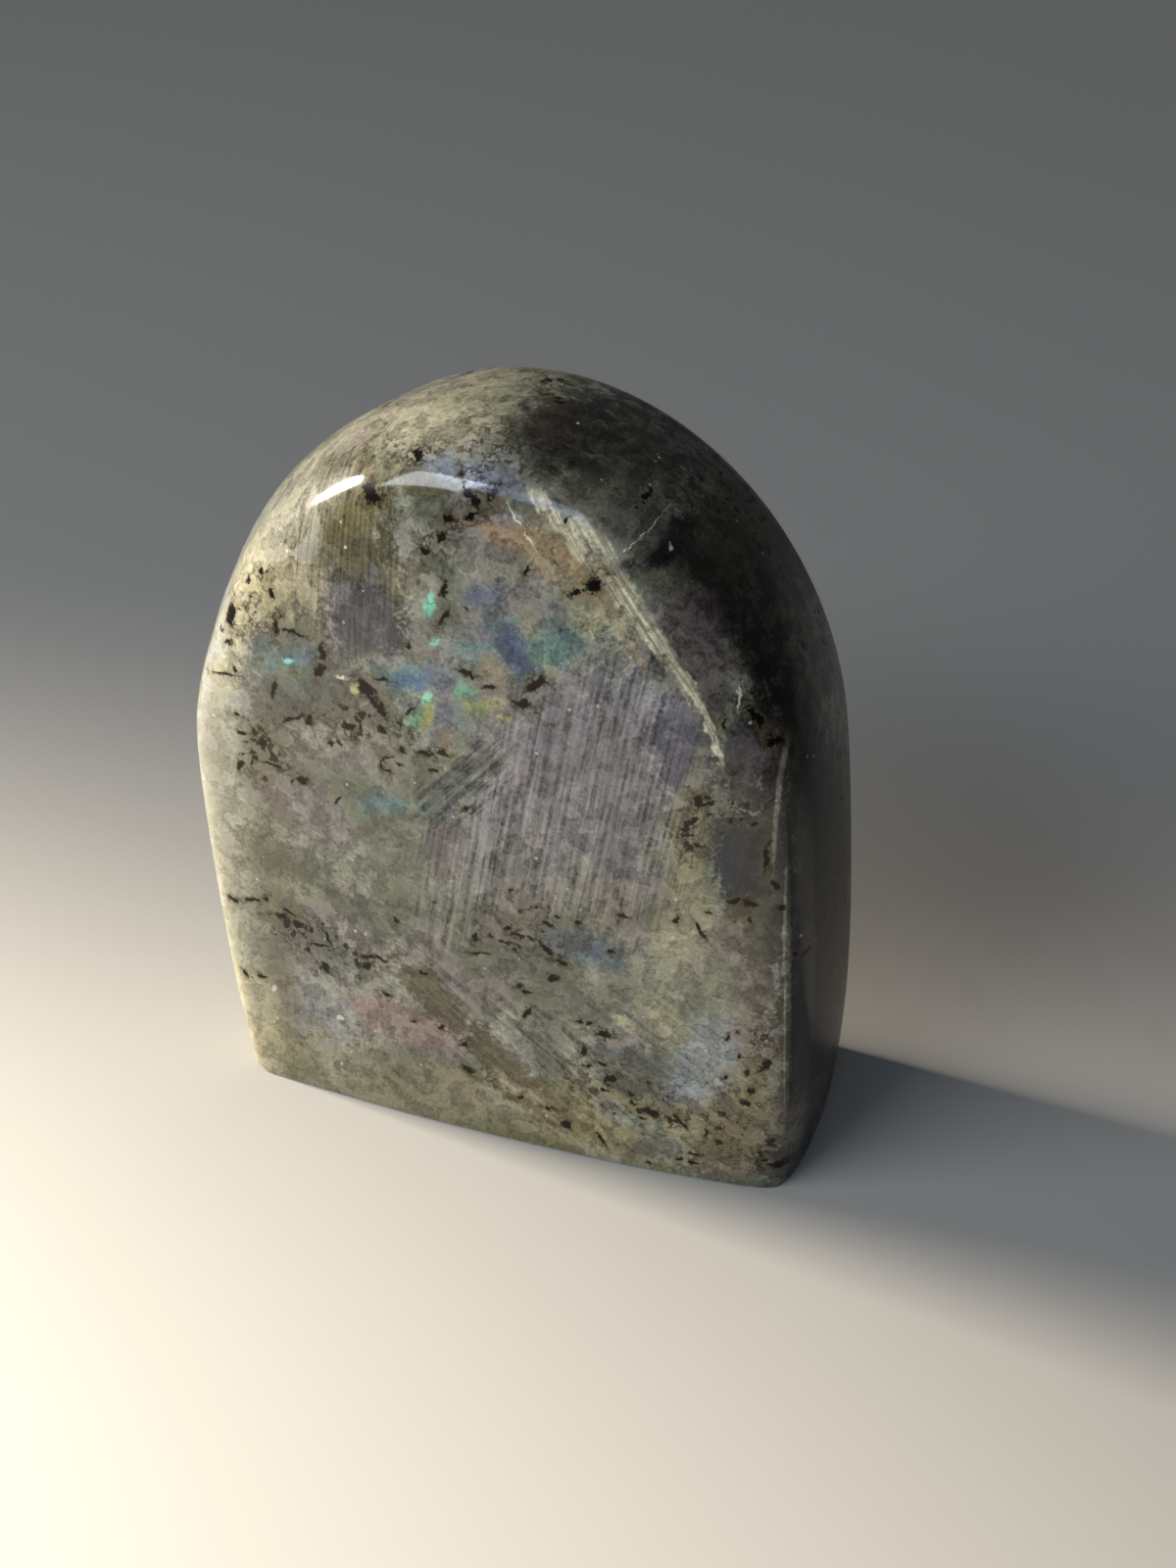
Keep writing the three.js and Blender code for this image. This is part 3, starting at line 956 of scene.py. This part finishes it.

# %% [markdown]
# ## Healed cracks and a painted ridge highlight
# Old cracks in the crystal healed as pale lines. A bundle of them runs down the edge of the upper
# right bevel as a cream streak, rusty along its lower side, and short faint ones cross the rest. A
# thin pale line on the right ridge, in the same cream, is a painted highlight of its crisp edge.

# %% Cracks
STREAK = [
    (7, 75, 6, 1.5, -34), (10.8, 72.6, 7, 3.0, -42), (14.2, 68.4, 7, 2.4, -50),
    (17.8, 63.8, 7, 1.7, -53), (21.2, 59.4, 6, 1.2, -55), (23.8, 54.8, 6, 0.8, -68),
    (4.4, 73.6, 5, 0.2, -52), (14.6, 72.4, 4, 0.16, 42),
]
# painted highlight along the crisp right ridge
PAINTED_RIDGE_HIGHLIGHT = [(30.1, 49, 18, 0.45, 91), (31.6, 34.5, 12, 0.3, 92), (32.2, 21, 18, 0.2, 92)]
RUST = [
    (4.5, 72.6, 8, 1.0, -10), (9.2, 70.8, 5, 1.3, -40),
    (12.6, 67.4, 5, 1.2, -50), (16, 62.8, 5, 0.9, -54),
]
streak = paint.step(nearest(ragged_place, STREAK) + (grain - 0.5) * 0.6, 1.25, 0.7) * front
strands = paint.step(lines(-54, 0.35), 0.42, 0.58)
rust = paint.step(nearest(ragged_place, RUST), 1.5, 0.4) * front
colour = paint.blend(rust * 0.42, colour, tint(168, 140, 104))
colour = paint.blend(streak * (0.5 + strands * 0.5), colour, tint(214, 207, 176))
colour = paint.blend(streak * (1 - strands) * 0.35, colour, tint(112, 84, 54))

healed = paint.step(lines(36, 0.3), 0.64, 0.7) * paint.step(cloud, 0.5, 0.62) * 0.3
# the healed lines and the painted ridge highlight share one cream
painted_ridge_highlight = paint.step(nearest(place, PAINTED_RIDGE_HIGHLIGHT), 1.5, 0.4) * paint.step(depth, -6, -9) * 0.4
colour = paint.blend(paint.sum("MAXIMUM", healed, painted_ridge_highlight), colour, tint(186, 182, 160))
print(len(STREAK), "strokes in the streak")

# %% [markdown]
# ## Ilmenite
# The black marks are needles and grains of ilmenite, an iron ore that was caught in the feldspar.
# The large ones are placed one by one, and a ragged edge keeps them from looking drawn.

# %% Needles
NEEDLES = [
    # left edge
    (-27.1, 57.5, 1.3, 1.9), (-27.3, 54.8, 1.1, 0.6, 30), (-28.3, 55.6, 0.5, 0.5),
    (-21.2, 58.3, 2.2, 1.1, 88), (-19.4, 58.3, 3.2, 0.4, -2), (-22, 61.4, 0.8, 0.8),
    (-23.4, 63.1, 0.7, 0.9), (-26.3, 52.3, 0.7, 0.5), (-27.6, 51.2, 3, 0.25, 15),
    # upper left
    (-10.9, 74.3, 1.8, 1.8, 30), (-12, 74.6, 0.7, 0.6), (-1, 76.1, 3.2, 0.5, -48),
    (-2.8, 73.6, 0.9, 0.7), (-0.5, 74, 1.3, 0.6, 30), (-3.4, 71.6, 1.6, 0.8, 50),
    (-4.9, 70.1, 1, 0.8), (-2.9, 66.3, 1.9, 1, 80), (-2.9, 63.6, 2.2, 0.5, 58),
    (-0.6, 64.9, 0.5, 0.4), (-7.2, 77.8, 1.3, 0.6), (1.2, 76.2, 1.6, 0.9, 20),
    # across the middle
    (-16, 57, 2.2, 0.7, 80), (-16.3, 54.8, 1.6, 1, 50), (-11.2, 54.3, 2.3, 1.7, -30),
    (-10, 52.6, 2.8, 1.1, -48), (-9.6, 50, 0.8, 0.7), (-9.6, 55.5, 1.8, 0.5, 10),
    (-11.9, 49.6, 1.4, 0.6, 80), (-13.3, 49.3, 1.5, 0.8, 20), (-21.7, 51.2, 2.8, 0.5, 72),
    (-0.3, 58.1, 2.6, 0.6, -22), (1.9, 57, 2, 0.7, 5), (6.6, 58.2, 2.6, 1.1, 38),
    (5.4, 56, 2, 1, 15), (-6.5, 59.8, 0.8, 0.4, 30), (-6.5, 52.6, 1.3, 0.5, 50),
    (-2.8, 48.7, 1.9, 1, 8), (-4.9, 48.4, 2.8, 0.6, 4), (-7.4, 48, 0.9, 0.8),
    (-7.7, 46.4, 0.9, 0.5, -30), (-8.8, 47, 1.6, 0.4, 10), (-9.7, 46, 2, 0.4, 72),
    (-9.1, 45.2, 1, 0.5, -20), (-4.1, 46.6, 1, 0.5, 20), (-15.3, 47, 0.8, 0.8),
    (-14.3, 47, 1, 0.5, -50), (-19.4, 48.6, 4, 0.5, 28), (-17.8, 48.8, 1.6, 0.8, 60),
    (-26.3, 47, 1.2, 0.3), (-25.8, 45, 1.2, 0.5, -10), (-25.4, 44, 0.6, 0.5),
    (-26.4, 41, 1.4, 0.8, 58), (-24.9, 42, 0.9, 0.4, 80), (-23.3, 44.8, 2.4, 1.2, 20),
    (-22.3, 43.5, 1.8, 0.6, -58), (-22.4, 42.3, 2.9, 0.6, -8), (-19, 41.3, 1.6, 1, 30),
    (-20.2, 40.8, 0.5, 0.5), (-14.8, 40.2, 1.5, 0.45, 52), (-0.6, 43, 1.1, 0.7, 20),
    # upper right and the right edge
    (11.6, 69, 1.9, 1, 60), (10.2, 68.1, 1.9, 0.5, 18), (8.5, 74.6, 1, 0.5, 70),
    (5.2, 69.5, 1.8, 0.35, 60), (14.2, 74.9, 0.8, 0.5), (27.2, 56.6, 3, 0.5, -50),
    (29, 54, 1.4, 0.8, -50), (24.7, 56.2, 1, 0.4, 70), (22.8, 48, 1.4, 1, 60),
    (23.8, 47.8, 1.8, 0.4, 18), (22.5, 45.6, 1.2, 0.6, 80), (26, 46.2, 1, 0.6, 70),
    (27, 46.6, 0.8, 0.5), (28.4, 46, 1.3, 0.7), (29.6, 42.5, 4.5, 0.6, 88),
    (28.4, 36.8, 1.7, 1.2), (26.6, 37, 1.3, 0.5, 20), (24.2, 35.2, 1, 0.6),
    (26.8, 34.5, 0.7, 0.4), (28.3, 34.8, 0.5, 0.5), (23.4, 32.9, 2.2, 0.4, -58),
    (30.5, 39.1, 1.2, 0.5, -60), (31.1, 36.5, 0.8, 0.6), (32.7, 30.5, 0.8, 0.5),
    (33.3, 29.8, 0.6, 0.7),
    # lower middle
    (3.9, 34, 0.8, 0.7), (6.9, 32.3, 0.9, 0.5, 10), (8.8, 31.8, 0.6, 0.6),
    (11, 31.5, 0.7, 0.7), (7.9, 30.5, 1.5, 0.6, -18), (3.6, 29.2, 0.9, 0.7, 50),
    (4.7, 28.4, 1.1, 0.6, -30), (3.2, 27.2, 1.5, 0.5), (7.5, 27.5, 2, 0.45, -48),
    (9.3, 26, 1.7, 0.5, -15), (0, 27, 1.3, 0.5, 80), (15.6, 33.2, 1.4, 0.4, -18),
    (21.1, 33.6, 0.8, 0.6, 40), (14.4, 28.5, 1, 0.6), (8.4, 23.8, 1.8, 0.9, 30),
    (4.5, 21.8, 0.8, 0.7), (5.3, 21.2, 1, 0.5), (5.3, 18.3, 2.3, 0.45, 62),
    (-9, 26.8, 1.2, 0.6, 80), (0.2, 25, 1.8, 0.4, 10),
    # lower left
    (-26.3, 24, 2.3, 0.6, 10), (-24.6, 24.6, 1.3, 0.7, 20), (-28.7, 23.2, 1.4, 0.5),
    (-22.6, 22.9, 1.3, 1), (-22, 23.8, 1.8, 0.4), (-20.7, 22.4, 1.5, 1.1),
    (-17.3, 22, 1.7, 0.5, -62), (-18.7, 20.4, 3, 0.5, 15), (-19.8, 19.6, 1.1, 0.7, 45),
    (-17.8, 17.8, 1.9, 1.5, 80), (-13.8, 19.8, 1, 0.8), (-12.7, 19.6, 1.7, 1, 10),
    (-12.4, 21, 2.3, 0.6, 22), (-11, 21.1, 1.8, 0.5, -32), (-6.2, 20.7, 1, 0.5),
    (-10.7, 16.4, 0.9, 0.5), (-7.6, 13.6, 0.6, 0.5), (-4.5, 13.8, 0.9, 0.5, 40),
    (-1.8, 12.1, 1.2, 0.7, 48), (-1.5, 8.8, 1.6, 0.8, -30), (-27.9, 13.6, 0.9, 0.7),
    (-26, 13.8, 1.2, 0.7),
    # lower right
    (11.1, 18.7, 1.1, 0.5), (12, 18.7, 1, 0.4, 40), (13.7, 17.6, 1.5, 1, -20),
    (11.6, 14.9, 0.9, 0.6, 80), (12.1, 13, 1.5, 0.5, 22), (13.5, 13.6, 1.3, 0.6, -15),
    (14.4, 11.8, 1.9, 0.9, 30), (13.6, 10, 1.1, 0.5), (17, 9.1, 1.2, 0.8, -20),
    (18.7, 8.2, 2.7, 1, -8), (17.8, 7.2, 1, 0.4), (22, 7.6, 2.3, 0.4, -58),
    (24.6, 6.8, 1.5, 0.4, 85), (26.4, 14.7, 0.8, 0.5, 70), (29.3, 13.4, 1.8, 0.9, 88),
    (28.6, 11.6, 1.5, 0.7), (30.7, 17, 2.2, 0.9, 60), (27.7, 20.7, 0.8, 0.5),
    (26.6, 19.8, 1, 0.4, 75), (27.8, 17.7, 0.9, 0.4, 80), (28.7, 15.7, 1.2, 0.5, 80),
    (9.4, 4, 1.5, 0.8, 52), (7.5, 6, 1.5, 0.6), (4.4, 6.5, 1, 0.5, 20),
    (13.3, 2.9, 2.1, 0.6, -52), (21.8, 2.3, 1, 0.7, 60), (23.3, 3.4, 1.3, 0.5),
    (23.5, 2.2, 1.5, 0.5), (18.7, 1, 0.8, 0.4), (32.3, 3.3, 2.4, 1.2),
    (30.8, 4, 1, 0.6),
]
print(len(NEEDLES), "needles")

# %% [markdown]
# ## Swarms and rust
# Small grains are random dots that show only inside loose swarms. Around them the feldspar is
# stained, and on the top, where they rusted, brown lace fills the cracks between them. The back
# has dots and stains, but no needles.

# %% Swarms
SWARMS = [
    (-24, 43, 8, 6, 60), (-18, 21, 14, 6, -20), (-24, 60, 8, 4, 60), (28, 8, 10, 9, 80),
    (5, 29, 12, 8), (-12, 50, 14, 5, 10), (30, 17, 14, 4, 88), (17, 10, 14, 8, -20),
    (24, 46, 12, 6, 60), (6, 57, 6, 4, 40),
]
LACE = [(1, 79.6, 12, 5, -5), (-3, 71.6, 9, 3.4, 46), (-8, 77.6, 7, 2, 10)]

needle_away = nearest(ragged_place, NEEDLES) + (grain - 0.5) * 1.8 + (mottle - 0.5) * 1.6
needle = paint.step(needle_away, 1.2, 0.6) * front
halo = paint.step(needle_away, 2.8, 1.1) * front

dots, dot_colour = paint.cells(ragged_place, 0.95)
dot_size, dot_pick = paint.channel(dot_colour, 0), paint.channel(dot_colour, 1)
swarm = paint.step(nearest(wandering, SWARMS) + ragged, 1.3, 0.5) * through
dot_edge = dots - dot_size * 0.4 + (grain - 0.5) * 0.9
dot = paint.step(dot_edge, 0.16, 0.08) * paint.step(dot_pick, 0.44, 0.5) * swarm
loose = paint.step(paint.noise(place, 0.12, detail=3), 0.54, 0.62) * (1 - front)
loose_dot = paint.step(dot_edge, 0.2, 0.1) * paint.step(dot_pick, 0.44, 0.5) * loose
ink = paint.sum("MAXIMUM", needle, paint.sum("MAXIMUM", dot, loose_dot) * 0.9)
stained = paint.sum("MAXIMUM", paint.sum("MAXIMUM", swarm, loose) * 0.7, halo)
knit = paint.sum("ABSOLUTE", paint.noise(ragged_place, 0.8, detail=3) - 0.5)
lace = paint.step(nearest(wandering, LACE) + ragged, 1.4, 0.6) * paint.step(mottle, 0.36, 0.5)
lace = lace * paint.step(knit, 0.07, 0.02) * through
print(len(SWARMS), "swarms")

# %% [markdown]
# ## Light and dark inside the stone
# Mottle, grain, curls, cells and lamellae are all lighter or darker by a share of the colour they
# lie in, so they are added up to one tone that multiplies it. At the left edge, where light
# gets into the stone, the tone is calmer.

# %% Tone
STONE_TONE = 0.955
crystal_tone, crystal_mix = paint.channel(crystal_pick, 0), paint.channel(crystal_pick, 1)
curl = paint.noise(ragged_place, 0.5, detail=3, roughness=0.55)
pale_curl = paint.step(paint.sum("ABSOLUTE", curl - 0.54), 0.04, 0.0)
web = paint.step(paint.sum("ABSOLUTE", curl - 0.46), 0.04, 0.0)
tone = (pale_curl - web) * 0.3 + (mottle - 0.5) * 1.7 + (grain - 0.5) * 1.2
blebs = paint.step(crystal_away + (grain - 0.5) * 0.9, 0.42, 0.2) * paint.step(cloud, 0.46, 0.6)
blebs = blebs * paint.step(crystal_mix, 0.45, 0.6)
tone = tone + (crystal_tone - 0.5) * 0.16 + line_tone * 0.6 + blebs * 0.3
rim = paint.step(sideways, -24, -30)
tone = (1 + tone * (1 - rim * 0.45)) * STONE_TONE
colour = paint.blend(1.0, colour, tone, "MULTIPLY")
print(len(paint.tree.nodes), "nodes up to the tone")

# %% [markdown]
# ## Stains, grains and dirt
# Over the toned feldspar come rare pale grains, the stains round the ilmenite, the rusty lace and
# the ilmenite itself, and last three specks of dirt and one short fibre on the polish.

# %% Small marks
DUST = tint(214, 208, 190)
INK = tint(24, 20, 15)
FLECKS = [
    (-24.5, 12.7, 0.9, 0.5, 60), (-16.5, 11.2, 0.9, 0.6, 30), (17.4, 71.4, 0.5, 0.25, -50),
    (25.6, 58.4, 2, 0.25, 95),
]
dust = paint.step(crystal_away + (grain - 0.5) * 0.8, 0.26, 0.16)
dust = dust * paint.step(paint.channel(crystal_pick, 2), 0.982, 0.986)
colour = paint.blend(dust * 0.7, colour, DUST)
colour = paint.blend(stained * 0.4, colour, tint(90, 80, 44))
colour = paint.blend(stained * web * 0.8, colour, tint(40, 30, 16))
colour = paint.blend(lace * 0.85, colour, tint(54, 42, 24))
colour = paint.blend(ink, colour, INK)
flecks = paint.step(nearest(ragged_place, FLECKS), 1.4, 0.8) * front
colour = paint.blend(flecks * 0.85, colour, DUST)
print(len(FLECKS), "specks and fibres of dirt")

# %% [markdown]
# ## Sawn and polished
# The sawn base is pale and dull with straight saw marks. The polished skin is glossy and very
# slightly uneven, and fine scratches only dull its gloss. The right wall was polished least, so
# it is duller, and a little metallic to mirror the room darkly.

# %% Finish
WALL_START = (-1, 38, 58, 74)
FELDSPAR_IOR = 1.56
POLISHED, DULL_WALL, DULL_BASE = 0.08, 0.25, 0.4
RELIEF_STRENGTH = 0.35
RELIEF_HEIGHT = 0.4 * MM
sawn = paint.step(height, 0.28, 0.08)
saw_place = paint.node("ShaderNodeMapping", {}, {"Vector": place, "Scale": (0.05, 2.2, 1)})
saw_marks = paint.noise(saw_place, 1.0, detail=1)
colour = paint.blend(sawn * 0.6, colour, tint(150, 148, 138))

scratch_place = paint.node("ShaderNodeMapping", {"vector_type": "TEXTURE"}, {
    "Vector": place, "Rotation": (0, -math.radians(83), 0), "Scale": (18, 6, 0.16),
})
scratches = paint.step(paint.noise(scratch_place, 1.0, detail=2), 0.66, 0.74)
uneven = paint.noise(place, 0.12, detail=2)
relief = uneven * 0.5 + sawn * saw_marks * 0.12
normal = paint.node("ShaderNodeBump", {}, {
    "Strength": RELIEF_STRENGTH, "Distance": RELIEF_HEIGHT, "Height": relief}, "Normal")

wall = paint.step(nearest(place, [WALL_START]), 0.98, 1.06) * paint.step(sideways, 14, 24)
wall = wall * paint.step(depth, -9, -6)
metallic = paint.sum("MAXIMUM", ink * 0.6, wall * 0.5)
metallic = paint.sum("MAXIMUM", metallic, flash_and_sheen_share * 0.25)
roughness = POLISHED + mottle * 0.08 + ink * 0.12 + scratches * 0.1
roughness = roughness + wall * DULL_WALL + sawn * DULL_BASE
surface = paint.node("ShaderNodeBsdfPrincipled", {}, {
    "Base Color": colour, "Roughness": roughness, "Metallic": metallic, "IOR": FELDSPAR_IOR,
    "Normal": normal,
})
paint.node("ShaderNodeOutputMaterial", {}, {"Surface": surface})
print(len(paint.tree.nodes), "nodes in the finish")

# %% [markdown]
# ## Hand over
# The visible stone takes the place of the measured solid, moves with it and gets its finish.

# %% Finish the scene
stone.data.materials.clear()
stone.data.materials.append(labradorite)
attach(stone, "root")
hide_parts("stone")
